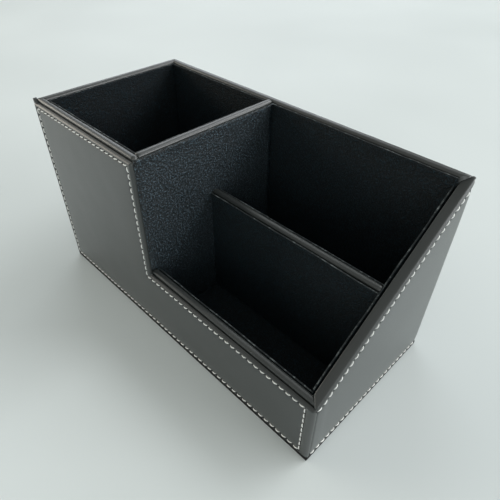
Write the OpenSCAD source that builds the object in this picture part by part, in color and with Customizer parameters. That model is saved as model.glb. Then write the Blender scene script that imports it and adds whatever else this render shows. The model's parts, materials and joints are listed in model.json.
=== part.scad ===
// Desk stationery box: boards wrapped in leatherette, one tall bay and two low bays,
// a stitched L-shaped facing on the front and one stitched wrap round the other three sides.
// Origin: centre of the underside. +X to the right, +Y to the back, +Z up, millimetres.

/* [Box] */
// Overall width, outside the facings
box_w = 215; // [180:1:260]
// Overall depth, outside the facings
box_d = 102; // [90:1:130]
// Overall height at the back and round the tall bay
box_h = 117; // [102:1:140]
// Height of the front lip
lip_h = 46.5; // [34:0.5:60]
// Distance from the left side to the step in the front
step_x = 97.5; // [80:0.5:115]

/* [Dividers] */
// Distance from the front to the front of the low divider
divider_y = 48; // [34:0.5:58]
// Height of the top of the low divider
divider_h = 79; // [64:0.5:88]

/* [Layers] */
// Thickness of the wall and divider boards
board_t = 2.5; // [2:0.1:3.5]
// Thickness of the leatherette folded over each board
leather_t = 0.7; // [0.5:0.05:1]
// Thickness of the stitched facing, two layers with a thin card between
facing_t = 1.5; // [1.2:0.1:2]
// Thickness of the lining cards
lining_t = 0.8; // [0.5:0.1:1.2]
// Thickness of the floor board
floor_t = 3; // [2:0.1:4]
// Thickness of the felt pad under the box
pad_t = 2.2; // [1:0.1:3]

/* [Edges] */
// Radius of the rolled rim of each wall
rim_r = 1.5; // [1:0.1:1.9]
// How far the front facing stops below the rim
front_drop = 2.3; // [1:0.1:4]
// How far the wrap on the other three sides stops below the rim
side_drop = 1.3; // [0.8:0.1:2.5]
// How far the lining cards stop below the rim
lining_drop = 2.4; // [1.6:0.1:4]
// Radius of the upright corners of the wrap at the back
corner_r = 2.6; // [1.6:0.1:4]
// How far the pad stays back from the outside of the box
pad_inset = 0.8; // [0.5:0.1:3]
// Gap between the end of the low divider and the right lining
divider_gap = 0.4; // [0.2:0.1:1.5]

/* [Stitching] */
// Distance from one stitch to the next
stitch_pitch = 3.9; // [3:0.1:6]
// Length of one stitch
stitch_len = 2.9; // [2:0.1:4]
// Diameter of the thread
thread_d = 0.8; // [0.5:0.05:1.2]
// Distance of the front stitching from the top edges of its facing
top_margin = 2.6; // [2.2:0.1:6]
// Distance of the front stitching from the left edge and from the step
upright_margin = 3.5; // [2.4:0.1:7]
// Distance of the front stitching from the right edge
right_margin = 5.2; // [2.4:0.1:8]
// Distance of the side and back stitching from the top edge
side_margin = 3.2; // [2.4:0.1:6]
// Distance of all stitching from the bottom edge
bottom_margin = 2.2; // [2:0.1:6]
// Depth of the channel that the stitches pull into the facing
channel_depth = 0.35; // [0.2:0.05:0.5]

/* [Hidden] */
$fn = 48;
thread_facets = 16;
channel_facets = 24;

// Half sizes of the outside, and of the plane where a facing lies on its wall
x_out = box_w / 2;
y_out = box_d / 2;
x_wall = x_out - facing_t;
y_wall = y_out - facing_t;

// A wall is one board with leatherette on both faces and over its top
wall_t = board_t + 2 * leather_t;
x_in = x_wall - wall_t;
y_in = y_wall - wall_t;

// Free faces of the lining cards
x_card = x_in - lining_t;
y_card = y_in - lining_t;

// The step in the front lines up with the lining on the cross divider
x_step = step_x - x_out;
x_cross = x_step - lining_t;
x_cross_left = x_cross - wall_t;
x_pen = x_cross_left - lining_t;

// The low divider
y_low = divider_y - y_out;
y_low_back = y_low + wall_t;
y_low_card = y_low - lining_t;
y_back_card = y_low_back + lining_t;

// Heights
z_wall = pad_t;
z_floor = z_wall + floor_t;
z_card = z_floor + lining_t;
slope = (box_h - lip_h) / (2 * y_wall);
slope_angle = atan(slope);

// The channel is a little wider than the thread
thread_play = 0.15;
channel_r = thread_d / 2 + thread_play;

// Height that cutting shapes stand over the box
ridge = 20;

// Height of the sloping top of the right wall at a depth y
function slope_z(y) = lip_h + slope * (y + y_wall);

// A box given by its low and high corners
module block(low, high) {
    translate(low) cube(high - low);
}

// Section of a wall across its thickness, with the top rolled over
module rolled_section(width, height, radius) {
    union() {
        square([width, height - radius]);
        translate([radius, 0]) square([width - 2 * radius, height]);
        translate([radius, height - radius]) circle(radius);
        translate([width - radius, height - radius]) circle(radius);
    }
}

// A wall along X from x0 to x1, its outer face towards -Y at y0
module wall_x(x0, x1, y0, top, radius = rim_r) {
    translate([x0, y0, z_wall]) rotate([90, 0, 90])
        linear_extrude(x1 - x0) rolled_section(wall_t, top - z_wall, radius);
}

// A wall along Y from y0 to y1, its left face at x0
module wall_y(x0, y0, y1, top) {
    translate([x0, y1, z_wall]) rotate([90, 0, 0])
        linear_extrude(y1 - y0) rolled_section(wall_t, top - z_wall, rim_r);
}

// The right wall, whose rolled top slopes down to the lip
module wall_sloped() {
    intersection() {
        translate([x_in, -y_wall, lip_h]) rotate([slope_angle, 0, 0])
            translate([0, box_d + box_h, -2 * box_h]) rotate([90, 0, 0])
                linear_extrude(2 * (box_d + box_h)) rolled_section(wall_t, 2 * box_h, rim_r);
        block([x_in, -y_wall, z_wall], [x_wall, y_wall, box_h + ridge]);
    }
}

// Plan of one wall with both ends mitred, for the side facing +Y at half sizes a and b
module mitre_plan(a, b) {
    polygon([[-a, b], [a, b], [a - wall_t, b - wall_t], [-a + wall_t, b - wall_t]]);
}

module mitre(side) {
    linear_extrude(box_h + ridge) {
        if (side == "back") mitre_plan(x_wall, y_wall);
        if (side == "front") mirror([0, 1]) mitre_plan(x_wall, y_wall);
        if (side == "left") rotate(90) mitre_plan(y_wall, x_wall);
        if (side == "right") rotate(-90) mitre_plan(y_wall, x_wall);
    }
}

// Boards

module front_board_slab() {
    y0 = -y_wall + leather_t;
    block([-x_wall, y0, z_wall], [x_wall, y0 + board_t, lip_h - leather_t]);
    block([-x_wall, y0, z_wall], [x_cross, y0 + board_t, box_h - leather_t]);
}

module right_board_slab() {
    drop = leather_t / cos(slope_angle);
    y0 = -y_wall;
    translate([x_in + leather_t, 0, 0]) rotate([90, 0, 90])
        linear_extrude(board_t) polygon([
            [y0, z_wall], [y_wall, z_wall],
            [y_wall, slope_z(y_wall) - drop], [y0, slope_z(y0) - drop]
        ]);
}

module front_board() {
    color("#8a6f4e") intersection() {
        front_board_slab();
        mitre("front");
    }
}

module back_board() {
    color("#8a6f4e") intersection() {
        block([-x_wall, y_in + leather_t, z_wall], [x_wall, y_wall - leather_t, box_h - leather_t]);
        mitre("back");
    }
}

module left_board() {
    color("#8a6f4e") intersection() {
        block([-x_wall + leather_t, -y_wall, z_wall], [-x_in - leather_t, y_wall, box_h - leather_t]);
        mitre("left");
    }
}

module right_board() {
    color("#8a6f4e") intersection() {
        right_board_slab();
        mitre("right");
    }
}

module cross_divider_board() {
    color("#8a6f4e") block(
        [x_cross_left + leather_t, -y_in, z_floor],
        [x_cross - leather_t, y_in, box_h - leather_t]
    );
}

module low_divider_board() {
    color("#8a6f4e") block(
        [x_step, y_low + leather_t, z_floor],
        [x_card - divider_gap, y_low_back - leather_t, divider_h - leather_t]
    );
}

module base_board() {
    color("#8a6f4e") block([-x_in, -y_in, z_wall], [x_in, y_in, z_floor]);
}

module base_pad() {
    color("#141414") block(
        [-x_out + pad_inset, -y_out + pad_inset, 0],
        [x_out - pad_inset, y_out - pad_inset, pad_t]
    );
}

// Leatherette folded over the boards

module front_wrap() {
    color("#2b2d2e") difference() {
        intersection() {
            union() {
                wall_x(-x_wall, x_wall, -y_wall, lip_h);
                wall_x(-x_wall, x_cross, -y_wall, box_h);
            }
            mitre("front");
        }
        front_board_slab();
    }
}

module back_wrap() {
    color("#2b2d2e") difference() {
        intersection() {
            wall_x(-x_wall, x_wall, y_in, box_h);
            mitre("back");
        }
        block([-x_wall, y_in + leather_t, 0], [x_wall, y_wall - leather_t, box_h - leather_t]);
    }
}

module left_wrap() {
    color("#2b2d2e") difference() {
        intersection() {
            wall_y(-x_wall, -y_wall, y_wall, box_h);
            mitre("left");
        }
        block([-x_wall + leather_t, -y_wall, 0], [-x_in - leather_t, y_wall, box_h - leather_t]);
    }
}

module right_wrap() {
    color("#2b2d2e") difference() {
        intersection() {
            wall_sloped();
            mitre("right");
        }
        right_board_slab();
    }
}

module cross_divider_wrap() {
    color("#3a3c3d") difference() {
        intersection() {
            wall_y(x_cross_left, -y_in, y_in, box_h);
            block([x_cross_left, -y_in, z_floor], [x_cross, y_in, box_h]);
        }
        block([x_cross_left + leather_t, -y_in, 0], [x_cross - leather_t, y_in, box_h - leather_t]);
    }
}

module low_divider_wrap() {
    x1 = x_card - divider_gap;
    color("#3a3c3d") difference() {
        intersection() {
            wall_x(x_step, x1, y_low, divider_h);
            block([x_step, y_low, z_floor], [x1, y_low_back, divider_h]);
        }
        block([x_step, y_low + leather_t, 0], [x1, y_low_back - leather_t, divider_h - leather_t]);
    }
}

// Stitching: each row is a list of corners, and a loop closes on its first corner

// Corners of the stitch line on the front, as X and Z
function front_line() = let (
    left = -x_out + upright_margin,
    right = x_out - right_margin,
    low = z_wall + bottom_margin,
    step = x_step - upright_margin,
    lip = lip_h - front_drop - top_margin,
    top = box_h - front_drop - top_margin
) [[left, low], [right, low], [right, lip], [step, lip], [step, top], [left, top]];

// Ends of the sloping and the bottom row on the right, as Y and Z
function right_slope_line() = let (
    drop = (side_drop + side_margin) / cos(slope_angle),
    y0 = -y_wall + stitch_pitch,
    y1 = y_out - side_margin
) [[y0, slope_z(y0) - drop], [y1, slope_z(y1) - drop]];

function row_y(z) = [[-y_wall + stitch_pitch, z], [y_out - side_margin, z]];

function row_x(z) = [[-x_out + side_margin, z], [x_out - side_margin, z]];

z_low_row = z_wall + bottom_margin;
z_top_row = box_h - side_drop - side_margin;

// One stitch in the drawing plane of a row, centred, along +X
module stitch() {
    r = thread_d / 2;
    half = stitch_len / 2 - r;
    union() {
        translate([-half, 0, 0]) rotate([0, 90, 0]) cylinder(r = r, h = 2 * half, $fn = thread_facets);
        translate([-half, 0, 0]) sphere(r, $fn = thread_facets);
        translate([half, 0, 0]) sphere(r, $fn = thread_facets);
    }
}

// Stitches from point a to point b of the drawing plane
module stitch_row(a, b) {
    reach = norm(b - a);
    count = floor(reach / stitch_pitch);
    turn = atan2(b[1] - a[1], b[0] - a[0]);
    for (i = [0 : count - 1])
        translate(a + (b - a) * (i + 0.5) / count) rotate(turn) stitch();
}

// The round channel under the stitches from a to b
module channel(a, b) {
    turn = atan2(b[1] - a[1], b[0] - a[0]);
    lift = channel_r - channel_depth;
    translate([a[0], a[1], lift]) rotate(turn) rotate([0, 90, 0])
        cylinder(r = channel_r, h = norm(b - a), $fn = channel_facets);
}

// The round hollow where the channel turns a corner at p
module channel_corner(p) {
    translate([p[0], p[1], channel_r - channel_depth]) sphere(channel_r, $fn = channel_facets);
}

// Places a drawing plane on an outer face, its Z pointing out of the box
module on_front() {
    translate([0, -y_out, 0]) rotate([90, 0, 0]) children();
}

module on_back() {
    translate([0, y_out, 0]) mirror([0, 1, 0]) rotate([90, 0, 0]) children();
}

module on_right() {
    translate([x_out, 0, 0]) rotate([90, 0, 90]) children();
}

module on_left() {
    translate([-x_out, 0, 0]) mirror([1, 0, 0]) rotate([90, 0, 90]) children();
}

module front_channel() {
    line = front_line();
    last = len(line) - 1;
    for (i = [0 : last]) {
        channel(line[i], line[i == last ? 0 : i + 1]);
        channel_corner(line[i]);
    }
}

module front_stitching() {
    line = front_line();
    last = len(line) - 1;
    color("#d9d6cc") on_front()
        for (i = [0 : last]) stitch_row(line[i], line[i == last ? 0 : i + 1]);
}

module right_stitching() {
    top = right_slope_line();
    low = row_y(z_low_row);
    color("#d9d6cc") on_right() {
        stitch_row(top[0], top[1]);
        stitch_row(low[0], low[1]);
    }
}

module left_stitching() {
    color("#d9d6cc") on_left()
        for (z = [z_low_row, z_top_row]) stitch_row(row_y(z)[0], row_y(z)[1]);
}

module back_stitching() {
    color("#d9d6cc") on_back()
        for (z = [z_low_row, z_top_row]) stitch_row(row_x(z)[0], row_x(z)[1]);
}

// Facings

// A flat panel in the drawing plane with folded, half-round edges, standing on its back
module folded_panel(low, high) {
    r = facing_t / 2;
    inner_low = low + [r, r];
    inner_high = high - [r, r];
    size = inner_high - inner_low;
    translate([0, 0, -facing_t]) {
        translate([inner_low[0], low[1], 0]) cube([size[0], high[1] - low[1], r]);
        translate([low[0], inner_low[1], 0]) cube([high[0] - low[0], size[1], r]);
        translate([inner_low[0], inner_low[1], 0]) cube([size[0], size[1], facing_t]);
        for (x = [inner_low[0], inner_high[0]]) {
            translate([x, inner_low[1], 0]) cylinder(r = r, h = r);
            translate([x, inner_high[1], 0]) cylinder(r = r, h = r);
            translate([x, inner_low[1], r]) rotate([-90, 0, 0]) cylinder(r = r, h = size[1]);
            translate([x, inner_low[1], r]) sphere(r);
            translate([x, inner_high[1], r]) sphere(r);
        }
        for (y = [inner_low[1], inner_high[1]])
            translate([inner_low[0], y, r]) rotate([0, 90, 0]) cylinder(r = r, h = size[0]);
    }
}

module front_facing() {
    color("#3b3e40") on_front() difference() {
        union() {
            folded_panel([-x_out, z_wall], [x_out, lip_h - front_drop]);
            folded_panel([-x_out, z_wall], [x_step, box_h - front_drop]);
        }
        front_channel();
    }
}

// Plan of the wrap round the left, the back and the right
module side_plan() {
    difference() {
        union() {
            translate([-x_out, -y_wall]) square([box_w, 2 * y_wall + facing_t - corner_r]);
            translate([-x_out + corner_r, -y_wall]) square([box_w - 2 * corner_r, 2 * y_wall + facing_t]);
            for (x = [-x_out + corner_r, x_out - corner_r])
                translate([x, y_out - corner_r]) circle(corner_r);
        }
        translate([-x_wall, -y_out]) square([2 * x_wall, y_out + y_wall]);
    }
}

module side_facing() {
    drop = side_drop / cos(slope_angle);
    top = box_h - side_drop;
    slope_low = right_slope_line();
    color("#6d7274") difference() {
        translate([0, 0, z_wall]) linear_extrude(top - z_wall) side_plan();
        translate([x_in, 0, 0]) rotate([90, 0, 90]) linear_extrude(box_w)
            polygon([
                [-y_out, slope_z(-y_out) - drop], [y_wall, slope_z(y_wall) - drop],
                [y_wall, box_h + ridge], [-y_out, box_h + ridge]
            ]);
        on_right() {
            channel(slope_low[0], slope_low[1]);
            channel(row_y(z_low_row)[0], row_y(z_low_row)[1]);
        }
        on_left() for (z = [z_low_row, z_top_row]) channel(row_y(z)[0], row_y(z)[1]);
        on_back() for (z = [z_low_row, z_top_row]) channel(row_x(z)[0], row_x(z)[1]);
    }
}

// Lining cards

module card(low, high) {
    color("#0c1214") block(low, high);
}

z_card_top = box_h - lining_drop;

module pen_floor_lining() {
    card([-x_card, -y_card, z_floor], [x_pen, y_card, z_card]);
}

module pen_left_lining() {
    card([-x_in, -y_card, z_floor], [-x_card, y_card, z_card_top]);
}

module pen_right_lining() {
    card([x_pen, -y_card, z_floor], [x_cross_left, y_card, z_card_top]);
}

module pen_front_lining() {
    card([-x_in, -y_in, z_floor], [x_cross_left, -y_card, z_card_top]);
}

module pen_back_lining() {
    card([-x_in, y_card, z_floor], [x_cross_left, y_in, z_card_top]);
}

// One sheet over the right face of the cross divider and over the edge of the step
module step_lining() {
    color("#1a2226") union() {
        block([x_cross, -y_in, z_floor], [x_step, y_card, z_card_top]);
        block([x_cross, -y_wall, lip_h], [x_step, -y_in, z_card_top]);
    }
}

module bay_back_lining() {
    card([x_cross, y_card, z_floor], [x_in, y_in, z_card_top]);
}

module lip_lining() {
    card([x_step, -y_in, z_floor], [x_in, -y_card, lip_h - lining_drop]);
}

module bay_right_lining() {
    drop = lining_drop / cos(slope_angle);
    y0 = -y_card;
    y1 = y_card;
    color("#0c1214") translate([x_card, 0, 0]) rotate([90, 0, 90])
        linear_extrude(lining_t) polygon([
            [y0, z_floor], [y1, z_floor], [y1, slope_z(y1) - drop], [y0, slope_z(y0) - drop]
        ]);
}

module divider_front_lining() {
    card([x_step, y_low_card, z_floor], [x_card - divider_gap, y_low, divider_h - lining_drop]);
}

module divider_back_lining() {
    card([x_step, y_low_back, z_floor], [x_card - divider_gap, y_back_card, divider_h - lining_drop]);
}

module front_floor_lining() {
    card([x_step, -y_card, z_floor], [x_card, y_low_card, z_card]);
}

module back_floor_lining() {
    card([x_step, y_back_card, z_floor], [x_card, y_card, z_card]);
}

base_pad();
base_board();
front_board();
back_board();
left_board();
right_board();
cross_divider_board();
low_divider_board();
front_wrap();
back_wrap();
left_wrap();
right_wrap();
cross_divider_wrap();
low_divider_wrap();
front_facing();
side_facing();
pen_front_lining();
pen_back_lining();
pen_left_lining();
pen_right_lining();
pen_floor_lining();
step_lining();
bay_back_lining();
bay_right_lining();
lip_lining();
divider_front_lining();
divider_back_lining();
front_floor_lining();
back_floor_lining();
front_stitching();
right_stitching();
left_stitching();
back_stitching();
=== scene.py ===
"""An open desk box for stationery: wrapped board walls, stitched leatherette covers and napped linings."""

import json
import math
import random

import bmesh
import bpy
from mathutils import Matrix, Vector, noise


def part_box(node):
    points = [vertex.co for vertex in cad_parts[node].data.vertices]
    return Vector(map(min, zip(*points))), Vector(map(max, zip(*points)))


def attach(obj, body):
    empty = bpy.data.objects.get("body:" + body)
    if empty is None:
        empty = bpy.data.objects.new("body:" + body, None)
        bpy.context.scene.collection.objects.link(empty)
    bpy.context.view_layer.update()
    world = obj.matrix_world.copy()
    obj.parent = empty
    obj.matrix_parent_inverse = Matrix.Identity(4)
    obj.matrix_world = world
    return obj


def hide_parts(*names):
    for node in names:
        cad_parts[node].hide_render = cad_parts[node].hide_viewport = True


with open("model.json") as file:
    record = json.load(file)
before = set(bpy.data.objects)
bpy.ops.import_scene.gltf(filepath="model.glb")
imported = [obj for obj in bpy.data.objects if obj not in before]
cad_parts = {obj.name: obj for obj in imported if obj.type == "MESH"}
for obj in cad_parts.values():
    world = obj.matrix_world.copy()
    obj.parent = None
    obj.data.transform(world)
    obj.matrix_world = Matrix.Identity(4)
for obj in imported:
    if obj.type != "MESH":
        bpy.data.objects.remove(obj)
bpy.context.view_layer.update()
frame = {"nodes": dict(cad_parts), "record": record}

MM = 0.001
LEFT, RIGHT = Vector((-1, 0, 0)), Vector((1, 0, 0))
FRONT, BACK = Vector((0, -1, 0)), Vector((0, 1, 0))

# Driving places, all read from the frame
FACING_LOW, FACING_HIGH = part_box("front_facing")
X_OUT = FACING_HIGH.x
Y_OUT = -FACING_LOW.y
X_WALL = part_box("back_wrap")[1].x
Y_WALL = -FACING_HIGH.y
WALL = X_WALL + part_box("left_wrap")[1].x
X_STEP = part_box("step_lining")[1].x
Z_LOW = FACING_LOW.z
FACING_TOP = FACING_HIGH.z
RIM_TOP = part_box("back_wrap")[1].z
SIDE_DROP = RIM_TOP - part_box("side_facing")[1].z
CARD_DROP = RIM_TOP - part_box("pen_front_lining")[1].z
LIP_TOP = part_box("lip_lining")[1].z + CARD_DROP
LIP_EDGE = LIP_TOP - (RIM_TOP - FACING_TOP)
SLOPE = (RIM_TOP - LIP_TOP) / (2 * Y_WALL)
SLOPE_COS = math.cos(math.atan(SLOPE))

# Sewing: pitch, stitch and thread, and how far each row lies inside the edge beside it
PITCH = 3.9 * MM
STITCH = 3.2 * MM
THREAD = 0.64 * MM
TOP_MARGIN = 2.6 * MM
UPRIGHT_MARGIN = 3.5 * MM
RIGHT_MARGIN = 5.2 * MM
SIDE_MARGIN = 3.2 * MM
LOW_MARGIN = 2.2 * MM

# Points closer than this are one point, and a hair is a distance too small to see
MERGE = 0.002 * MM
HAIR = 0.1 * MM


def mix(a, b, t):
    return a + (b - a) * t


def slope_z(y):
    """Height of the rim of the right wall at a depth y."""
    return LIP_TOP + SLOPE * (y + Y_WALL)


# Materials

# Real grain is about half as wide, and real nap far finer. They are drawn this coarse to show in the render.
COVER_GRAIN = 0.8 * MM
RIM_GRAIN = 0.9 * MM
NAP = 0.9 * MM

# Real sizes of the other patterns
DRIFT = 35.7 * MM
BRUSHED_PATCH = 22.2 * MM
PLY_TURN = 1.5 * MM
THREAD_FUZZ = 0.4 * MM
FRAYED_PATCH = 3.03 * MM
FELT_FIBRE = 0.714 * MM
BOARD_FLECK = 1.11 * MM
TABLE_CLOUD = 333 * MM


def srgb(text):
    """An sRGB hex colour as linear numbers with alpha."""
    values = [int(text[i:i + 2], 16) / 255 for i in (1, 3, 5)]
    return [v / 12.92 if v <= 0.04045 else ((v + 0.055) / 1.055) ** 2.4 for v in values] + [1.0]


def tones(low, high, start=0.35, end=0.65):
    """Colour stops that run from one hex value to another."""
    return [(start, srgb(low)), (end, srgb(high))]


def add(tree, kind, links=None, stops=(), **settings):
    """Adds a node, sets its properties, inputs and colour stops, and links other nodes' outputs into it."""
    made = tree.nodes.new(kind)
    for name, value in settings.items():
        if hasattr(made, name):
            setattr(made, name, value)
        else:
            made.inputs[name.replace("_", " ")].default_value = value
    if stops:
        ramp = made.color_ramp.elements
        while len(ramp) < len(stops):
            ramp.new(0.5)
        for stop, (position, colour) in zip(ramp, stops):
            stop.position, stop.color = position, colour
    for name, source in (links or {}).items():
        tree.links.new(source, made.inputs[name])
    return made


def new_material(name):
    """An empty material, its tree, and the object coordinates that its patterns read."""
    material = bpy.data.materials.new(name)
    material.use_nodes = True
    tree = material.node_tree
    tree.nodes.clear()
    place = add(tree, "ShaderNodeTexCoord").outputs["Object"]
    return material, tree, place


def leatherette(name, colours, rough, coat, coat_rough, haze, grain, depth):
    """Polyurethane skin embossed on cloth: satin black, with a round grain that breaks up the windows'
    reflections and slow drifts of gloss from handling."""
    material, tree, place = new_material(name)
    cells = add(tree, "ShaderNodeTexVoronoi", {"Vector": place}, feature="SMOOTH_F1", Scale=1 / grain)
    fine = add(tree, "ShaderNodeTexNoise", {"Vector": place}, Scale=1 / (0.5 * grain), Detail=3.0)
    drift = add(tree, "ShaderNodeTexNoise", {"Vector": place}, Scale=1 / DRIFT, Detail=4.0, Roughness=0.6)
    height = add(
        tree, "ShaderNodeMath", {0: cells.outputs["Distance"], 1: fine.outputs["Fac"]}, operation="ADD",
    )
    bump = add(tree, "ShaderNodeBump", {"Height": height.outputs[0]}, Strength=0.5, Distance=depth)
    gloss = add(tree, "ShaderNodeMapRange", {"Value": drift.outputs["Fac"]}, To_Min=rough[0], To_Max=rough[1])
    colour = add(tree, "ShaderNodeValToRGB", {"Fac": drift.outputs["Fac"]}, tones(*colours))
    shader = add(
        tree, "ShaderNodeBsdfPrincipled",
        {"Base Color": colour.outputs["Color"], "Roughness": gloss.outputs[0], "Normal": bump.outputs[0]},
        IOR=1.5, Coat_Weight=coat, Coat_Roughness=coat_rough, Coat_IOR=1.5,
        Sheen_Weight=haze, Sheen_Roughness=0.3, Sheen_Tint=srgb("#e6efec"),
    )
    add(tree, "ShaderNodeOutputMaterial", {"Surface": shader.outputs["BSDF"]})
    return material


def napped_card(name, tips, rough, index):
    """Card flocked with short nylon nap: near black where the nap is looked into, with tips that show as
    blue-grey specks; how bright the tips are painted stands in for how much light reaches the card."""
    material, tree, place = new_material(name)
    nap = add(tree, "ShaderNodeTexNoise", {"Vector": place}, Scale=1 / NAP, Detail=3.0, Roughness=0.6)
    brush = add(tree, "ShaderNodeTexNoise", {"Vector": place}, Scale=1 / BRUSHED_PATCH, Detail=3.0)
    specks = add(tree, "ShaderNodeValToRGB", {"Fac": nap.outputs["Fac"]}, tones("#01070b", tips, 0.5, 0.73))
    bump = add(tree, "ShaderNodeBump", {"Height": nap.outputs["Fac"]}, Strength=1.0, Distance=1.1 * MM)
    gloss = add(tree, "ShaderNodeMapRange", {"Value": brush.outputs["Fac"]}, To_Min=rough[0], To_Max=rough[1])
    shader = add(
        tree, "ShaderNodeBsdfPrincipled",
        {"Base Color": specks.outputs["Color"], "Roughness": gloss.outputs[0], "Normal": bump.outputs[0]},
        IOR=index, Sheen_Weight=0.03, Sheen_Roughness=0.45, Sheen_Tint=srgb("#8fb0bc"),
    )
    add(tree, "ShaderNodeOutputMaterial", {"Surface": shader.outputs["BSDF"]})
    return material


def waxed_thread():
    """Twisted polyester thread, waxed: off-white, with the ply showing as slanting ribs."""
    material, tree, place = new_material("waxed sewing thread")
    ply = add(
        tree, "ShaderNodeTexWave", {"Vector": place},
        Scale=2 * math.pi / (10 * PLY_TURN), Distortion=1.5, bands_direction="DIAGONAL",
    )
    fuzz = add(tree, "ShaderNodeTexNoise", {"Vector": place}, Scale=1 / THREAD_FUZZ, Detail=2.0)
    colour = add(
        tree, "ShaderNodeValToRGB", {"Fac": fuzz.outputs["Fac"]}, tones("#e6e6e0", "#fdfdfa", 0.3, 0.6),
    )
    bump = add(tree, "ShaderNodeBump", {"Height": ply.outputs["Fac"]}, Strength=0.5, Distance=0.08 * MM)
    shader = add(
        tree, "ShaderNodeBsdfPrincipled", {"Base Color": colour.outputs["Color"], "Normal": bump.outputs[0]},
        Roughness=0.55, IOR=1.5, Sheen_Weight=0.2,
    )
    add(tree, "ShaderNodeOutputMaterial", {"Surface": shader.outputs["BSDF"]})
    return material


def pressed_fibres(name, stops, rough, ior, strength, depth, **fibre):
    """Pressed or cut fibres, seen as flecks of two tones that stand up a little."""
    material, tree, place = new_material(name)
    flecks = add(tree, "ShaderNodeTexNoise", {"Vector": place}, **fibre)
    colour = add(tree, "ShaderNodeValToRGB", {"Fac": flecks.outputs["Fac"]}, stops)
    bump = add(tree, "ShaderNodeBump", {"Height": flecks.outputs["Fac"]}, Strength=strength, Distance=depth)
    shader = add(
        tree, "ShaderNodeBsdfPrincipled", {"Base Color": colour.outputs["Color"], "Normal": bump.outputs[0]},
        Roughness=rough, IOR=ior,
    )
    add(tree, "ShaderNodeOutputMaterial", {"Surface": shader.outputs["BSDF"]})
    return material


# Over the padding: a satin black that greys where the windows glance along it
COVER_SKIN = leatherette(
    "embossed leatherette facing", ("#111615", "#191e1d"), (0.4, 0.5), coat=0.9, coat_rough=0.36, haze=0.1,
    grain=COVER_GRAIN, depth=0.1 * MM,
)
# Pulled tight over the rims: shallower grain and a crisper line of light
RIM_SKIN = leatherette(
    "stretched leatherette rim", ("#1a1e1d", "#232726"), (0.45, 0.55), coat=0.8, coat_rough=0.27, haze=0.1,
    grain=RIM_GRAIN, depth=0.06 * MM,
)
# At the needle holes: a dull black dot under the end of each stitch, painted shade for the shadowed pits
# beside the thread
NEEDLE_HOLE_SHADE = leatherette(
    "painted shade at the needle holes", ("#040505", "#0a0b0b"), (0.7, 0.8), coat=0.0, coat_rough=0.5, haze=0.0,
    grain=0.55 * MM, depth=0.05 * MM,
)
# In the bays: a deep blue-black with dim specks, the card painted in shade for the dim bays
SHADED_LINING = napped_card("flocked card", "#1b323c", (0.5, 0.6), 1.38)
# On the step: the same card painted lit, its specks brighter and glossier where light glances across the step
LIT_STEP_LINING = napped_card("flocked card painted lit", "#5b6f7b", (0.3, 0.4), 1.5)
THREAD_FINISH = waxed_thread()
# Cut edges of the lining: grey fibres with paler frayed specks
CUT_CARD = pressed_fibres(
    "cut edge of flocked card", tones("#1a2022", "#8a9292", 0.5, 0.78), 0.8, 1.45, 0.6, 0.2 * MM,
    Scale=1 / FRAYED_PATCH, Detail=4.0, Roughness=0.8,
)
# Pressed wool felt: black and matt, with short tangled fibres
FELT = pressed_fibres(
    "pressed felt", tones("#030303", "#0d0d0e"), 0.9, 1.5, 0.7, 0.2 * MM,
    Scale=1 / FELT_FIBRE, Detail=5.0, Distortion=1.2,
)
# Greyboard: brown-grey, flecked with short fibres
BOARD = pressed_fibres(
    "pressed fibreboard", tones("#6d5a41", "#a08a66"), 0.85, 1.5, 0.3, 0.1 * MM,
    Scale=1 / BOARD_FLECK, Detail=6.0, Roughness=0.7,
)


# Making pieces

SEED_SKEW = 2.7


def ripple(point, size, seed=0.0):
    """Smooth noise from -1 to 1 whose waves are about size long, another part of it for each seed."""
    return noise.noise(Vector(point) / size + Vector((seed, SEED_SKEW * seed, 0.0)))


def finish_piece(name, bm, material, replaced=()):
    """Makes a bmesh an object that rides with the box, for the nodes that it stands for."""
    bmesh.ops.remove_doubles(bm, verts=bm.verts, dist=MERGE)
    bmesh.ops.recalc_face_normals(bm, faces=bm.faces)
    mesh = bpy.data.meshes.new(name)
    bm.to_mesh(mesh)
    bm.free()
    mesh.materials.append(material)
    for face in mesh.polygons:
        face.use_smooth = True
    piece = bpy.data.objects.new(name, mesh)
    bpy.context.scene.collection.objects.link(piece)
    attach(piece, "root")
    if replaced:
        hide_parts(*replaced)
    return piece


def bent_sheet(columns, rows, place):
    """A grid of columns by rows cells whose vertices are put where place says, u and v running 0 to 1."""
    bm = bmesh.new()
    bmesh.ops.create_grid(bm, x_segments=columns, y_segments=rows, size=0.5)
    for vertex in bm.verts:
        vertex.co = place(vertex.co.x + 0.5, vertex.co.y + 0.5)
    return bm


def block(low, high):
    """A box from its low corner to its high corner."""
    bm = bmesh.new()
    bmesh.ops.create_cube(bm, size=1)
    for vertex in bm.verts:
        vertex.co = (low + high) / 2 + Vector([c * s for c, s in zip(vertex.co, high - low)])
    return bm


def soften(bm, width):
    """Rounds every edge of a box."""
    bmesh.ops.bevel(
        bm, geom=bm.edges[:], offset=width, offset_type="OFFSET", segments=2, profile=0.5,
        affect="EDGES", clamp_overlap=True, material=-1,
    )


def open_edges(bm):
    return [e for e in bm.edges if e.is_boundary]


def close_holes(bm):
    bmesh.ops.holes_fill(bm, edges=open_edges(bm), sides=0)


def join(bm, small):
    """Adds a small shape to a large one."""
    mesh = bpy.data.meshes.new("shape")
    small.to_mesh(mesh)
    small.free()
    bm.from_mesh(mesh)
    bpy.data.meshes.remove(mesh)


LEAST_CELL = 0.08 * MM


def cut_across(bm, places, axis):
    """Cuts a shape across at each place along an axis, leaving out places too close to the last."""
    normal = Vector((0, 0, 0))
    normal[axis] = 1
    last = None
    for place in sorted(places):
        if last is not None and place - last < LEAST_CELL:
            continue
        last = place
        geometry = bm.verts[:] + bm.edges[:] + bm.faces[:]
        bmesh.ops.bisect_plane(bm, geom=geometry, dist=1e-7, plane_co=normal * place, plane_no=normal)


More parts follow.
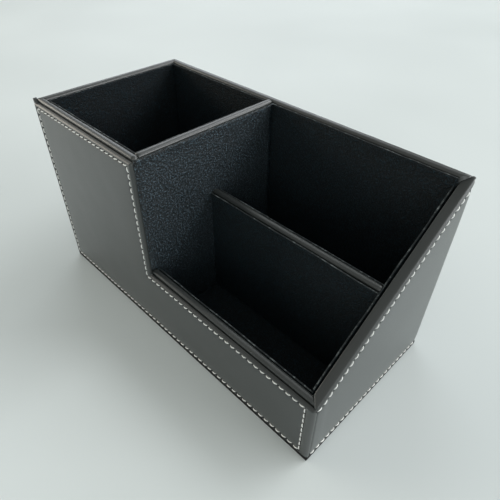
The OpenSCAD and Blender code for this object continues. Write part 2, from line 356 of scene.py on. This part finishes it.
def divide(bm, low, high, step):
    """Cuts a box into cells no longer than about a step."""
    for axis in range(3):
        size = high[axis] - low[axis]
        if size > 2 * step:
            count = int(size / step)
            cut_across(bm, [low[axis] + size * i / count for i in range(1, count)], axis)


# Skin over padding: radius of a folded edge, height of the roll beside it, depth and half width of the
# valley that the thread pulls in, and height and reach of the padding
FOLD = 1.4 * MM
ROLL = 0.3 * MM
ROLL_POWER = 1.5
VALLEY = 0.42 * MM
VALLEY_HALF = 0.65 * MM
PILLOW = 0.24 * MM
PILLOW_REACH = 4 * MM
# The slow waves of the skin die out this near to an edge
CALM = 4 * MM

# Millimetres from a folded edge, and from a seam, where the skin has a row of vertices
EDGE_STEPS = [0.12, 0.35, 0.7, 1.15, 1.7, 2.4, 3.2]
SEAM_STEPS = [-0.95, -0.6, -0.3, 0.0, 0.3, 0.6, 0.95, 1.6, 2.8, 4.6]
SEAM_ROOM = 1.2 * MM
CELL = PITCH / 3


def skin_height(edge, seam, folded=FOLD, valley=VALLEY):
    """Height over the flat: round at the folded edge, a soft roll, the pulled-in seam, then the padded field.

    The seam distance is negative between the edge and the seam, and positive in the field.
    """
    inside = max(edge, 0.0)
    height = 0.0
    if inside < folded:
        height -= folded - math.sqrt(max(folded ** 2 - (folded - inside) ** 2, 0.0))
    if seam < 0:
        height += ROLL * math.sin(math.pi * inside / (inside - seam)) ** ROLL_POWER
    else:
        height += PILLOW * (1 - math.exp(-seam / PILLOW_REACH))
    return height - valley * math.exp(-((seam / VALLEY_HALF) ** 2))


def seam_cuts(margin):
    """Distances from an edge where the skin needs a row of vertices, for a seam at a margin."""
    cuts = [e * MM for e in EDGE_STEPS if e * MM < margin - SEAM_ROOM]
    return cuts + [margin + s * MM for s in SEAM_STEPS]


def even_places(low, high, busy, reach):
    """Even places from low to high that keep clear of busy places."""
    count = int((high - low) / CELL)
    places = [low + (high - low) * i / count for i in range(1, count)]
    return [p for p in places if min(abs(p - b) for b in busy) > reach]


# The front cover

CORNER_ROUND = 0.9 * MM
# Height and length of each kind of wave in the skin
FRONT_WAVES = [(0.16 * MM, 38 * MM), (0.05 * MM, 11 * MM)]


def rounded_distance(x, z, right, top):
    """Distance inside a rectangle with rounded corners, drawn from the front's low left corner."""
    across = abs(x - (right - X_OUT) / 2) - (right + X_OUT) / 2 + CORNER_ROUND
    up = abs(z - (Z_LOW + top) / 2) - (top - Z_LOW) / 2 + CORNER_ROUND
    outside = math.hypot(max(across, 0), max(up, 0))
    return CORNER_ROUND - outside - min(max(across, up), 0)


def front_edge(x, z):
    """Distance inside the L of the front, negative outside it."""
    tall = rounded_distance(x, z, X_STEP, FACING_TOP)
    wide = rounded_distance(x, z, X_OUT, LIP_EDGE)
    if tall > 0 and wide > 0:
        corner = math.hypot(X_STEP - x, LIP_EDGE - z)
        return min(max(tall, wide), corner, x + X_OUT, z - Z_LOW, X_OUT - x, FACING_TOP - z)
    return max(tall, wide)


def front_seam(x, z):
    """Distance inside the stitched loop, whose margins differ from side to side, negative outside it."""
    left, right, step = x + X_OUT - UPRIGHT_MARGIN, X_OUT - RIGHT_MARGIN - x, X_STEP - UPRIGHT_MARGIN - x
    low, lip, top = z - Z_LOW - LOW_MARGIN, LIP_EDGE - TOP_MARGIN - z, FACING_TOP - TOP_MARGIN - z
    tall, wide = min(left, step, low, top), min(left, right, low, lip)
    if tall > 0 and wide > 0:
        return min(math.hypot(step, lip), left, right, low, top)
    return max(tall, wide)


def onto_round_corner(x, z):
    """Moves a point outside a rounded outer corner back onto it."""
    right = X_OUT if z < LIP_EDGE + CORNER_ROUND else X_STEP
    top = FACING_TOP if x < X_STEP + CORNER_ROUND else LIP_EDGE
    cx = min(max(x, -X_OUT + CORNER_ROUND), right - CORNER_ROUND)
    cz = min(max(z, Z_LOW + CORNER_ROUND), top - CORNER_ROUND)
    away = Vector((x - cx, z - cz))
    if away.length > CORNER_ROUND:
        away *= CORNER_ROUND / away.length
    return cx + away.x, cz + away.y


def front_cover():
    """The stitched L-shaped cover, padded, with edges folded round to its back."""
    bm = bent_sheet(1, 1, lambda u, v: Vector((mix(-X_OUT, X_OUT, u), 0, mix(Z_LOW, FACING_TOP, v))))
    upright, top = seam_cuts(UPRIGHT_MARGIN), seam_cuts(TOP_MARGIN)
    across = [X_STEP] + [X_STEP - s for s in upright]
    across += [-X_OUT + s for s in upright] + [X_OUT - s for s in seam_cuts(RIGHT_MARGIN)]
    upward = [LIP_EDGE] + [LIP_EDGE - s for s in top]
    upward += [FACING_TOP - s for s in top] + [Z_LOW + s for s in seam_cuts(LOW_MARGIN)]
    cut_across(bm, across + even_places(-X_OUT, X_OUT, across, CELL * 0.7), 0)
    cut_across(bm, upward + even_places(Z_LOW, FACING_TOP, upward, CELL * 0.7), 2)
    middles = {face: face.calc_center_median() for face in bm.faces}
    over_lip = [f for f, middle in middles.items() if middle.x > X_STEP and middle.z > LIP_EDGE]
    bmesh.ops.delete(bm, geom=over_lip, context="FACES")
    folded = bmesh.ops.extrude_edge_only(bm, edges=open_edges(bm))
    behind = {g for g in folded["geom"] if isinstance(g, bmesh.types.BMVert)}
    for vertex in bm.verts:
        x, z = vertex.co.x, vertex.co.z
        edge = front_edge(x, z)
        if edge < 0:
            x, z = onto_round_corner(x, z)
        waves = sum(tall * ripple((x, i, z), length) for i, (tall, length) in enumerate(FRONT_WAVES))
        height = skin_height(edge, front_seam(x, z)) + min(max(edge, 0) / CALM, 1) * waves
        vertex.co = Vector((x, -Y_WALL if vertex in behind else -Y_OUT - height, z))
    close_holes(bm)
    cover = finish_piece("front_cover", bm, COVER_SKIN, ["front_facing"])


# The cover round the left, the back and the right

CORNER = 2.6 * MM
SIDE_RUN = Y_WALL + Y_OUT - CORNER
BACK_RUN = 2 * (X_OUT - CORNER)
CORNER_RUN = CORNER * math.pi / 2
SIDE_LENGTH = 2 * SIDE_RUN + CORNER * math.pi + BACK_RUN
# Its upright ends, folded in at the front: rows of vertices in millimetres, radius, and the swell beside it
END_STEPS = [0.0, 0.15, 0.4, 0.8, 1.3, 2.0]
END_FOLD = 1.3 * MM
END_SWELL = 0.16 * MM
SWELL_PLACE = 5 * MM
SWELL_HALF = 3 * MM
# Its top edge is turned in tighter than its bottom edge, with a shallower seam
TOP_FOLD = 0.6 * MM
TOP_VALLEY = 0.3 * MM
SIDE_WAVE = 0.15 * MM
SIDE_WAVE_LENGTH = 35 * MM
SIDE_SEED = 3.0
FIELD_ROWS = 26


def side_path(s):
    """Point and outward direction at a length s along the cover, from the front left to the front right."""
    if s < SIDE_RUN:
        return Vector((-X_OUT, -Y_WALL + s, 0)), LEFT
    s -= SIDE_RUN
    if s < CORNER_RUN:
        turn = s / CORNER
        out = Vector((-math.cos(turn), math.sin(turn), 0))
        return Vector((-X_OUT + CORNER, Y_OUT - CORNER, 0)) + out * CORNER, out
    s -= CORNER_RUN
    if s < BACK_RUN:
        return Vector((-X_OUT + CORNER + s, Y_OUT, 0)), BACK
    s -= BACK_RUN
    if s < CORNER_RUN:
        turn = s / CORNER
        out = Vector((math.sin(turn), math.cos(turn), 0))
        return Vector((X_OUT - CORNER, Y_OUT - CORNER, 0)) + out * CORNER, out
    s -= CORNER_RUN
    return Vector((X_OUT, Y_OUT - CORNER - s, 0)), RIGHT


def side_top(point):
    """Height of the top edge of the cover over a point on the plan."""
    if point.x > X_WALL - CORNER and point.y < Y_WALL:
        return slope_z(point.y) - SIDE_DROP / SLOPE_COS
    return RIM_TOP - SIDE_DROP


def side_cover():
    """One stitched cover round three sides, its top sloping down along the right end."""
    ends = [e * MM for e in END_STEPS]
    places = ends + [SIDE_LENGTH - e for e in ends]
    places = sorted(places + even_places(0, SIDE_LENGTH, places, 1.0 * MM))
    low_rows, high_rows = [0] + seam_cuts(LOW_MARGIN), [0] + seam_cuts(SIDE_MARGIN)
    columns = len(places) - 1
    rows = len(low_rows) + len(high_rows) + FIELD_ROWS - 1

    def place(u, v):
        along, row = places[round(u * columns)], round(v * rows)
        point, out = side_path(along)
        top = side_top(point)
        # Square to the sloping edge, the right end is shorter than straight down
        slant = SLOPE_COS if out.x > 0.9 else 1
        first, last = Z_LOW + low_rows[-1], top - high_rows[-1] / slant
        if row < len(low_rows):
            z = Z_LOW + low_rows[row]
        elif row >= len(low_rows) + FIELD_ROWS:
            z = top - high_rows[rows - row] / slant
        else:
            z = mix(first, last, (row - len(low_rows) + 1) / (FIELD_ROWS + 1))
        low, high = z - Z_LOW, (top - z) * slant
        end = min(along, SIDE_LENGTH - along)
        if low < high:
            height = skin_height(low, low - LOW_MARGIN)
        else:
            height = skin_height(high, high - SIDE_MARGIN, TOP_FOLD, TOP_VALLEY)
        if end < END_FOLD:
            height -= END_FOLD - math.sqrt(END_FOLD ** 2 - (END_FOLD - end) ** 2)
        height += END_SWELL * math.exp(-(((end - SWELL_PLACE) / SWELL_HALF) ** 2))
        calm = min(min(low, high) / CALM, 1)
        height += calm * SIDE_WAVE * ripple((point.x, point.y, z), SIDE_WAVE_LENGTH, SIDE_SEED)
        # The folded corners stay clear of the wall
        height = max(height, HAIR - (X_OUT - X_WALL))
        return point + out * height + Vector((0, 0, z))

    bm = bent_sheet(columns, rows, place)
    # Its back lies flat on the walls
    backed = bmesh.ops.extrude_face_region(bm, geom=bm.faces[:])
    for vertex in backed["geom"]:
        if isinstance(vertex, bmesh.types.BMVert):
            vertex.co.x = min(max(vertex.co.x, -X_WALL), X_WALL)
            vertex.co.y = min(vertex.co.y, Y_WALL)
    cover = finish_piece("side_cover", bm, COVER_SKIN, ["side_facing"])


# Rolled rims over the boards

RIM_DEPTH = 9 * MM
RIM_ROUND = 1.75 * MM
# Share of a rim's section in each leg, and again in its underside
LEG_SHARE = 0.12
# Roundness of the top: 2 is a half ellipse, and more is squarer
RIM_POWER = 2.2
SLOPE_POWER = 7.0
# The skin stands out over the covers, most on the slope, but pulls in a neck over the front
OVERHANG = 0.5 * MM
SLOPE_OVERHANG = 1.4 * MM
NECK = -0.4 * MM
NECK_EASE = 2 * MM
# The sloping rim is narrower on the inside and a little lower
SLOPE_PULL = 0.6 * MM
SLOPE_SINK = 0.4 * MM
# Rims cross at a mitre, and dip beside it and where they meet another wall
PAST_MITRE = 0.25 * MM
DIP = 0.3 * MM
DIP_LENGTH = 1.2 * MM
ROUND_DROP = 0.8
# Height, length and seed of the waves in the skin, on the part of the section that shows
RIM_WAVES = [(0.10 * MM, 14 * MM, 0), (0.05 * MM, 4 * MM, 5)]
SHOWN = 2.6 * MM
RIM_CELL = 1.1 * MM
RIM_ROWS = 50
# How strongly the cells gather towards the ends
GATHER = 0.35


def rim_profile(v, overhang, power, pull):
    """Across and up from the top of a rim: outer leg, over the top, inner leg, and back underneath."""
    leg = RIM_DEPTH - RIM_ROUND
    if v < LEG_SHARE:
        up = -RIM_DEPTH + leg * v / LEG_SHARE
        return max(-overhang, 0) * min((up + RIM_DEPTH) / NECK_EASE, 1), up
    if v > 1 - LEG_SHARE:
        return WALL * (1 - v) / LEG_SHARE, -RIM_DEPTH
    if v > 1 - 2 * LEG_SHARE:
        return WALL, -RIM_ROUND - leg * (v - (1 - 2 * LEG_SHARE)) / LEG_SHARE
    turn = math.pi * (v - LEG_SHARE) / (1 - 3 * LEG_SHARE)
    across = math.copysign(abs(math.cos(turn)) ** (2 / power), math.cos(turn))
    up = math.sin(turn) ** (2 / power)
    bulge = overhang * max(across, 0) * (min(up * 3, 1) if overhang > 0 else (1 - up) ** 2)
    return WALL / 2 * (1 - across) - bulge - pull * max(-across, 0), -RIM_ROUND * (1 - up)


def rolled_rim(name, start, end, inward, tops, ends, seed, replaced, overhang=0.0, power=RIM_POWER, pull=0.0):
    """A closed leatherette rim along a wall from start to end, with mitred, rounded or square ends."""
    run = end - start
    length = run.length
    along = run.normalized()

    def place(u, v):
        across, up = rim_profile(v, overhang, power, pull)
        mitre = max(across, 0.0) - PAST_MITRE
        first = mitre if ends[0] == "mitre" else 0.0
        final = length - (mitre if ends[1] == "mitre" else 0.0)
        reach = mix(first, final, mix(u, 0.5 - 0.5 * math.cos(math.pi * u), GATHER))
        shown = up > -SHOWN
        for kind, gap in ((ends[0], reach - first), (ends[1], final - reach)):
            if kind == "round" and gap < RIM_ROUND:
                shut = math.sqrt(max(1 - (1 - gap / RIM_ROUND) ** 2, 0))
                across = mix(WALL / 2, across, mix(0.5, 1, shut))
                up -= ROUND_DROP * RIM_ROUND * (1 - shut) if shown else 0
            elif kind != "round" and gap < DIP_LENGTH and shown:
                up -= DIP * (1 - gap / DIP_LENGTH) ** 2
        if shown:
            for tall, size, more in RIM_WAVES:
                up += tall * ripple((reach, across, 0), size, seed + more)
        point = start + along * reach + inward * across
        point.z = mix(tops[0], tops[1], reach / length) + up
        return point

    bm = bent_sheet(max(int(length / RIM_CELL), 20), RIM_ROWS, place)
    bmesh.ops.remove_doubles(bm, verts=bm.verts, dist=MERGE)
    close_holes(bm)
    return finish_piece(name, bm, RIM_SKIN, replaced)


def rims():
    """One rim over each wall and divider. The front has two, since it steps down."""
    front_left, front_right = Vector((-X_WALL, -Y_WALL, 0)), Vector((X_WALL, -Y_WALL, 0))
    back_left, back_right = Vector((-X_WALL, Y_WALL, 0)), Vector((X_WALL, Y_WALL, 0))
    level, low = (RIM_TOP, RIM_TOP), (LIP_TOP, LIP_TOP)
    slope = (LIP_TOP - SLOPE_SINK, RIM_TOP - SLOPE_SINK)
    mitred = ("mitre", "mitre")
    rolled_rim("back_rim", back_right, back_left, FRONT, level, mitred, 1.0, ["back_wrap"], OVERHANG)
    rolled_rim("left_rim", back_left, front_left, RIGHT, level, mitred, 2.0, ["left_wrap"], OVERHANG)
    rolled_rim(
        "front_rim", front_left, Vector((X_STEP - 0.2 * MM, -Y_WALL, 0)), BACK, level, ("mitre", "round"),
        3.0, ["front_wrap"], NECK,
    )
    rolled_rim(
        "lip_rim", Vector((X_STEP - 0.6 * MM, -Y_WALL, 0)), front_right, BACK, low, ("square", "mitre"),
        4.0, [], NECK,
    )
    rolled_rim(
        "slope_rim", front_right, back_right, LEFT, slope, mitred, 5.0, ["right_wrap"],
        SLOPE_OVERHANG, SLOPE_POWER, SLOPE_PULL,
    )
    near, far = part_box("cross_divider_wrap")
    rolled_rim(
        "cross_divider_rim", Vector((near.x, near.y, 0)), Vector((near.x, far.y, 0)), RIGHT, level,
        ("square", "square"), 6.0, ["cross_divider_wrap"],
    )
    near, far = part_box("low_divider_wrap")
    rolled_rim(
        "low_divider_rim", Vector((near.x, near.y, 0)), Vector((far.x + 0.3 * MM, near.y, 0)), BACK,
        (far.z, far.z), ("square", "round"), 7.0, ["low_divider_wrap"],
    )


# Stitches

# A needle hole's dark dot of painted shade: its half sizes along the row, across it and outwards, and how far
# its middle is sunk
HOLE_HALF = (0.55 * MM, 0.45 * MM, 0.2 * MM)
HOLE_SUNK = 0.12 * MM
# A stitch's slant in degrees, the fullness of its ends, how far its middle stands out and its ends dive,
# and how much stitches differ in slant, length and thickness
STITCH_LEAN = 7
LEAN_SPREAD = 3
STITCH_POWER = 3.2
STITCH_RISE = 0.22 * MM
STITCH_DIVE = 0.5 * MM
LENGTH_SPREAD = (0.96, 1.03)
THICKNESS_SPREAD = (0.92, 1.06)


def stitch_line(bm, holes, a, b, out, seed):
    """Sews from a to b: rice-shaped stitches whose ends dive into the skin, and a dark dot of painted shade
    at each needle hole.
    """
    run = b - a
    count = max(int(run.length / PITCH), 1)
    along = run.normalized()
    side = out.cross(along)
    level = Matrix((along, side, out)).transposed()
    for i in range(count + 1):
        pit = bmesh.new()
        bmesh.ops.create_uvsphere(pit, u_segments=8, v_segments=4, radius=1)
        for vertex in pit.verts:
            x, y, z = (c * half for c, half in zip(vertex.co, HOLE_HALF))
            vertex.co = a + run * i / count + level @ Vector((x, y, z - HOLE_SUNK))
        join(holes, pit)
    chance = random.Random(seed)
    for i in range(count):
        middle = a + run * (i + 0.5) / count
        lean = math.radians(STITCH_LEAN + chance.uniform(-LEAN_SPREAD, LEAN_SPREAD))
        heading = along * math.cos(lean) + side * math.sin(lean)
        turned = Matrix((heading, out.cross(heading), out)).transposed()
        half = STITCH / 2 * chance.uniform(*LENGTH_SPREAD)
        thick = THREAD / 2 * chance.uniform(*THICKNESS_SPREAD)
        stitch = bmesh.new()
        bmesh.ops.create_uvsphere(stitch, u_segments=8, v_segments=10, radius=1)
        for vertex in stitch.verts:
            # The pole axis of the ball lies along the stitch
            t = vertex.co.z
            full = 0.0
            if abs(t) < 0.999:
                full = (1 - abs(t) ** STITCH_POWER) ** 0.5 / max((1 - t * t) ** 0.5, 1e-6)
            spot = Vector((t * half, vertex.co.x * thick * full, vertex.co.y * thick * full))
            spot.z += STITCH_RISE - STITCH_DIVE * t * t
            vertex.co = middle + turned @ spot
        join(bm, stitch)


def sew(name, rows, out, seed):
    """One piece of thread for each side, and one of the painted shade at the needle holes under it."""
    stitches, holes = bmesh.new(), bmesh.new()
    for i, (a, b) in enumerate(rows):
        stitch_line(stitches, holes, a, b, out, seed + i)
    finish_piece(name + "_stitches", stitches, THREAD_FINISH, [name + "_stitching"])
    finish_piece(name + "_needle_hole_shade", holes, NEEDLE_HOLE_SHADE)


def stitching():
    """A loop inside the edges of the front, and rows along the top and the bottom of the other sides."""
    left, right, step = -X_OUT + UPRIGHT_MARGIN, X_OUT - RIGHT_MARGIN, X_STEP - UPRIGHT_MARGIN
    low, lip, top = Z_LOW + LOW_MARGIN, LIP_EDGE - TOP_MARGIN, FACING_TOP - TOP_MARGIN
    corners = [(left, low), (right, low), (right, lip), (step, lip), (step, top), (left, top)]
    line = [Vector((x, -Y_OUT, z)) for x, z in corners]
    sew("front", list(zip(line, line[1:] + line[:1])), FRONT, 0)
    # The sloping row starts one stitch from the front edge, and a last stitch turns into the front seam
    drop = (SIDE_DROP + SIDE_MARGIN) / SLOPE_COS
    turn, first, final = -Y_WALL + PITCH, -Y_WALL + PITCH * 0.6, Y_OUT - SIDE_MARGIN
    heel = slope_z(turn) - drop - 0.4 * MM
    sew("right", [
        (Vector((X_OUT, turn, heel)), Vector((X_OUT, final, slope_z(final) - drop))),
        (Vector((X_OUT, -Y_WALL + 0.5 * MM, low)), Vector((X_OUT, final, low))),
        (Vector((X_OUT, -Y_WALL - 0.2 * MM, heel - 0.2 * MM)), Vector((X_OUT, turn, heel))),
    ], RIGHT, 11)
    heights = (low, RIM_TOP - SIDE_DROP - SIDE_MARGIN)
    sew("left", [(Vector((-X_OUT, final, z)), Vector((-X_OUT, first, z))) for z in heights], LEFT, 14)
    reach = X_OUT - SIDE_MARGIN
    sew("back", [(Vector((reach, Y_OUT, z)), Vector((-reach, Y_OUT, z))) for z in heights], BACK, 16)


# The fold at the front left corner

TAB = Vector((3.4 * MM, 2.4 * MM, 3.0 * MM))
TAB_CUT = 0.75
TAB_ROUND = 0.35 * MM


def corner_tab():
    """Leatherette gathered at the corner: a small folded tip between the front cover and the rim."""
    low = Vector((-X_OUT + HAIR, -Y_OUT + HAIR, RIM_TOP - TAB.z))
    bm = block(low, low + TAB)
    for vertex in bm.verts:
        if vertex.co.x > low.x + TAB.x / 2 and vertex.co.z > low.z + TAB.z / 2:
            vertex.co.z -= TAB_CUT * TAB.z
    soften(bm, TAB_ROUND)
    finish_piece("corner_tab", bm, RIM_SKIN)


# Lining cards and the pad

# How far a card's edge stands above its node's, how far it leans off the wall, and over what depth
CARD_RAISE = 1.1 * MM
CARD_LEAN = 0.75 * MM
LEAN_DEPTH = 9 * MM
# Uneven lean: share and length of its waves
LEAN_SHARE = 0.35
LEAN_LENGTH = 17 * MM
# Slow waves in the card, and the frayed edge
CARD_WAVE = 0.12 * MM
CARD_WAVE_LENGTH = 30 * MM
FRAY = 0.22 * MM
FRAY_LENGTH = 9 * MM
CARD_ROUND = 0.2 * MM
CARD_CELL = 3 * MM
FLAT_CELL = 4 * MM
PAD_PROUD = 0.7 * MM
PAD_ROUND = 0.3 * MM

# Thin axis of each upright card, and the way into its bay
INWARD = {
    "pen_front_lining": (1, 1), "pen_back_lining": (1, -1), "pen_left_lining": (0, 1),
    "pen_right_lining": (0, -1), "step_lining": (0, 1), "bay_back_lining": (1, -1),
    "bay_right_lining": (0, -1), "lip_lining": (1, 1), "divider_front_lining": (1, -1),
    "divider_back_lining": (1, 1),
}


def step_block(low, high):
    """The sheet on the step runs on over the end of the front wall, down to the lip."""
    bm = block(low, high)
    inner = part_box("cross_divider_wrap")[0].y
    cut_across(bm, [inner], 1)
    cut_across(bm, [LIP_TOP], 2)
    middles = {face: face.calc_center_median() for face in bm.faces}
    under = [f for f, middle in middles.items() if middle.y < inner - HAIR and middle.z < LIP_TOP - HAIR]
    bmesh.ops.delete(bm, geom=under, context="FACES")
    close_holes(bm)
    return bm


def upright_card(node):
    """A napped card glued to a wall, its top edge a little loose from the wall and a little uneven."""
    axis, way = INWARD[node]
    run = 1 - axis
    low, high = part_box(node)
    top = high + Vector((0, 0, CARD_RAISE))
    sloping = node == "bay_right_lining"
    on_step = node == "step_lining"

    def edge_at(y):
        return slope_z(y) - CARD_DROP / SLOPE_COS + CARD_RAISE if sloping else top.z

    bm = step_block(low, high) if on_step else block(low, high)
    for vertex in bm.verts:
        if vertex.co.z > high.z - 1 * MM or (sloping and vertex.co.z > low.z + 1 * MM):
            vertex.co.z = edge_at(vertex.co.y)
    if not on_step:
        soften(bm, CARD_ROUND)
    divide(bm, low, top, CARD_CELL)
    if not sloping:
        cut_across(bm, [top.z - LEAN_DEPTH * i / 6 for i in range(1, 6)], 2)
    seed = low.x * 300 + low.y * 700
    for vertex in bm.verts:
        near = min(max(1 - (edge_at(vertex.co.y) - vertex.co.z) / LEAN_DEPTH, 0), 1)
        along = (vertex.co[run], 0, 0)
        wave = CARD_WAVE * ripple(vertex.co, CARD_WAVE_LENGTH, seed)
        lean = CARD_LEAN * (1 + LEAN_SHARE * ripple(along, LEAN_LENGTH, seed + 1)) * near ** 2
        vertex.co[axis] += way * (lean + max(wave, 0))
        if near > 0.9:
            vertex.co.z += FRAY * ripple(along, FRAY_LENGTH, seed + 2)
    # The step takes the copy of the card painted lit, the bays the copy painted in shade
    nap = LIT_STEP_LINING if on_step else SHADED_LINING
    piece = finish_piece(node.replace("_lining", "_card"), bm, nap, [node])
    piece.data.materials.append(CUT_CARD)
    for face in piece.data.polygons:
        if face.normal.z > 0.6 and face.center.z > edge_at(face.center.y) - 0.8 * MM:
            face.material_index = 1


def flat_card(node, material, name, round_edge, proud=0.0):
    """A flat sheet under or in the box, standing out by proud on every side."""
    low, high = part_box(node)
    low, high = low - Vector((proud, proud, 0)), high + Vector((proud, proud, 0))
    bm = block(low, high)
    soften(bm, round_edge)
    divide(bm, low, high, FLAT_CELL)
    return finish_piece(name, bm, material, [node])


def linings():
    """A card on each side and floor of each bay."""
    for node in INWARD:
        upright_card(node)
    for bay in ("pen", "front", "back"):
        flat_card(bay + "_floor_lining", SHADED_LINING, bay + "_floor_card", CARD_ROUND)


def felt_pad():
    """Felt laid under the base, its edge a black strip round the foot of the box."""
    pad = flat_card("base_pad", FELT, "felt_pad", PAD_ROUND, PAD_PROUD)


def boards():
    """The boards keep their own shapes, in fibreboard."""
    for part in frame["record"]["subparts"]:
        if part["material_slot"] == "board":
            finishes = frame["nodes"][part["node"]].data.materials
            finishes.clear()
            finishes.append(BOARD)


# Floor, light and camera

# Place, what it faces, size, watts and colour of each lamp
LAMPS = {
    "back window": ((1.2, 3.0, 3.0), (0, 0, 0.05), (2.6, 2.0), 78.0, "#fbfdff"),
    "left window": ((-1.8, 1.6, 1.3), (0, 0, 0.05), (1.8, 1.4), 15.0, "#f3f8ff"),
    "pale wall": ((-2.6, -1.1, 0.7), (0, 0, 0.0), (2.0, 1.2), 22.0, "#fff4e4"),
    "right window": ((2.6, 1.3, 0.8), (0, 0, 0.0), (2.0, 1.2), 44.0, "#fbfdff"),
    "far wall": ((2.2, -1.6, 0.6), (0, 0, 0.0), (2.0, 1.0), 8.0, "#fbfefd"),
}
# Direction of the camera's side of the room, and how bright the room is from the far side (-1) to there (1)
CAMERA_SIDE = (0.61, -0.61, 0.51)
ROOM = [(-0.45, 0.1), (-0.25, 0.95), (0.05, 0.95), (0.25, 0.22), (0.5, 0.22), (0.65, 0.66)]
ROOM_TINT = "#f9fefb"

CAMERA_PLACE = (0.15978, -0.14436, 0.22245)
CAMERA_TURN = (49.4816, -0.5185, 45.029)
CAMERA_LENS = 33.164


def floor():
    """Painted table top: pale and matt, faintly clouded."""
    material, tree, place = new_material("pale table top")
    cloud = add(tree, "ShaderNodeTexNoise", {"Vector": place}, Scale=1 / TABLE_CLOUD, Detail=2.0)
    colour = add(
        tree, "ShaderNodeValToRGB", {"Fac": cloud.outputs["Fac"]}, tones("#cdd3d2", "#d6dcdb", 0.3, 0.7),
    )
    shader = add(
        tree, "ShaderNodeBsdfPrincipled", {"Base Color": colour.outputs["Color"]}, Roughness=0.6, IOR=1.45,
    )
    add(tree, "ShaderNodeOutputMaterial", {"Surface": shader.outputs["BSDF"]})
    bm = bmesh.new()
    bmesh.ops.create_grid(bm, x_segments=2, y_segments=2, size=4)
    mesh = bpy.data.meshes.new("floor")
    bm.to_mesh(mesh)
    bm.free()
    mesh.materials.append(material)
    table = bpy.data.objects.new("floor", mesh)
    bpy.context.scene.collection.objects.link(table)


def lamp(name, spot, target, size, power, colour):
    """A large soft panel of light that faces a target."""
    data = bpy.data.lights.new(name, "AREA")
    data.shape = "RECTANGLE"
    data.size, data.size_y = size
    data.energy = power
    data.color = srgb(colour)[:3]
    panel = bpy.data.objects.new(name, data)
    panel.location = spot
    panel.rotation_euler = (Vector(target) - Vector(spot)).to_track_quat("-Z", "Y").to_euler()
    bpy.context.scene.collection.objects.link(panel)


def studio():
    """A pale room in bands of light, dark on the far side and in a ring round the camera, with its lamps."""
    world = bpy.data.worlds.new("studio")
    world.use_nodes = True
    tree = world.node_tree
    tree.nodes.clear()
    ray = add(tree, "ShaderNodeTexCoord").outputs["Generated"]
    facing = add(tree, "ShaderNodeVectorMath", {0: ray}, operation="DOT_PRODUCT")
    facing.inputs[1].default_value = CAMERA_SIDE
    place = add(tree, "ShaderNodeMapRange", {"Value": facing.outputs["Value"]}, From_Min=-1.0, From_Max=1.0)
    tint = srgb(ROOM_TINT)[:3]
    bands = [((angle + 1) / 2, [shade * t for t in tint] + [1]) for angle, shade in ROOM]
    colour = add(tree, "ShaderNodeValToRGB", {"Fac": place.outputs[0]}, bands)
    light = add(tree, "ShaderNodeBackground", {"Color": colour.outputs["Color"]}, Strength=1.0)
    add(tree, "ShaderNodeOutputWorld", {"Surface": light.outputs[0]})
    bpy.context.scene.world = world
    for name, settings in LAMPS.items():
        lamp(name, *settings)


def camera():
    data = bpy.data.cameras.new("camera")
    data.lens = CAMERA_LENS
    eye = bpy.data.objects.new("camera", data)
    eye.location = CAMERA_PLACE
    eye.rotation_euler = [math.radians(a) for a in CAMERA_TURN]
    bpy.context.scene.collection.objects.link(eye)
    bpy.context.scene.camera = eye


camera()
front_cover()
side_cover()
rims()
stitching()
corner_tab()
linings()
felt_pad()
boards()
floor()
studio()
bpy.context.scene.view_settings.view_transform = "Standard"
